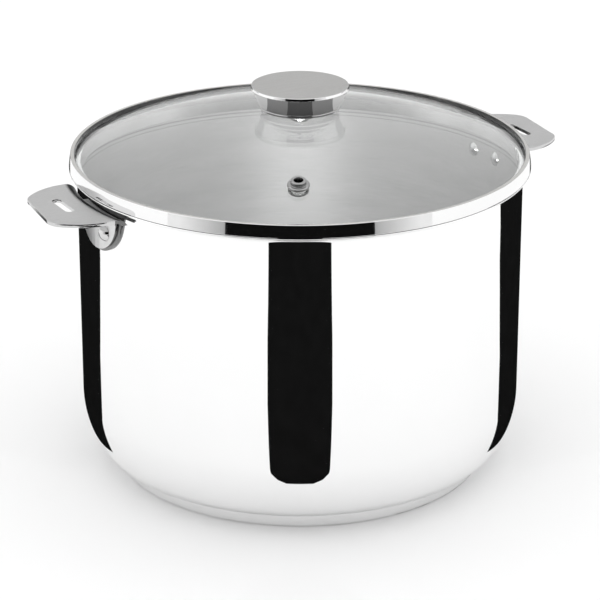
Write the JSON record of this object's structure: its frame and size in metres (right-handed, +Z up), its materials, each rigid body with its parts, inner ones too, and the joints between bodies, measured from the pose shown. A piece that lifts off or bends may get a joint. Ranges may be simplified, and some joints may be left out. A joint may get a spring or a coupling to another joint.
{
  "type": "stock pot",
  "caption": "Deep round steel stock pot with a capsule base, two riveted side lugs with slots, and a domed glass lid with a steel rim, knob and steam vent.",
  "frame": {"origin": "centre of the base's underside, on the vessel's axis", "axes": "+Z up along the vessel's axis, +X out through the right lug, +Y towards the back"},
  "size_m": [0.3122, 0.2504, 0.2144],
  "materials": {
    "polished_steel": "mirror polished",
    "aluminium_core": "matt",
    "base_steel": "satin",
    "lug_steel": "satin",
    "plate_steel": "satin",
    "rivet_steel": "polished",
    "lid_glass": "clear",
    "band_steel": "polished",
    "knob_steel": "polished",
    "knob_top_steel": "fine brushed",
    "moulded_core": "moulded",
    "brass_bush": "turned",
    "silicone": "matt translucent",
    "fixing_steel": "turned",
    "vent_steel": "polished"
  },
  "bodies": {
    "pot": {"vessel": "polished_steel", "base_core": "aluminium_core", "base_cap": "base_steel", "handle_lug_right": "lug_steel", "lug_plate_right": "plate_steel", "rivet_right_front": "rivet_steel", "rivet_right_back": "rivet_steel", "handle_lug_left": "lug_steel", "lug_plate_left": "plate_steel", "rivet_left_front": "rivet_steel", "rivet_left_back": "rivet_steel"},
    "lid": {"lid_glass": "lid_glass", "lid_band": "band_steel", "knob_shell": "knob_steel", "knob_cap": "knob_top_steel", "knob_core": "moulded_core", "knob_bush": "brass_bush", "knob_gasket": "silicone", "knob_seal": "silicone", "knob_washer": "fixing_steel", "knob_screw": "fixing_steel", "vent_eyelet": "vent_steel", "vent_gasket": "silicone", "vent_collar": "vent_steel"}
  },
  "joints": [
    {"name": "lid_lift", "type": "slide", "parent": "pot", "child": "lid", "axis": [0, 0, 1], "range_m": [0, 0.2]}
  ]
}
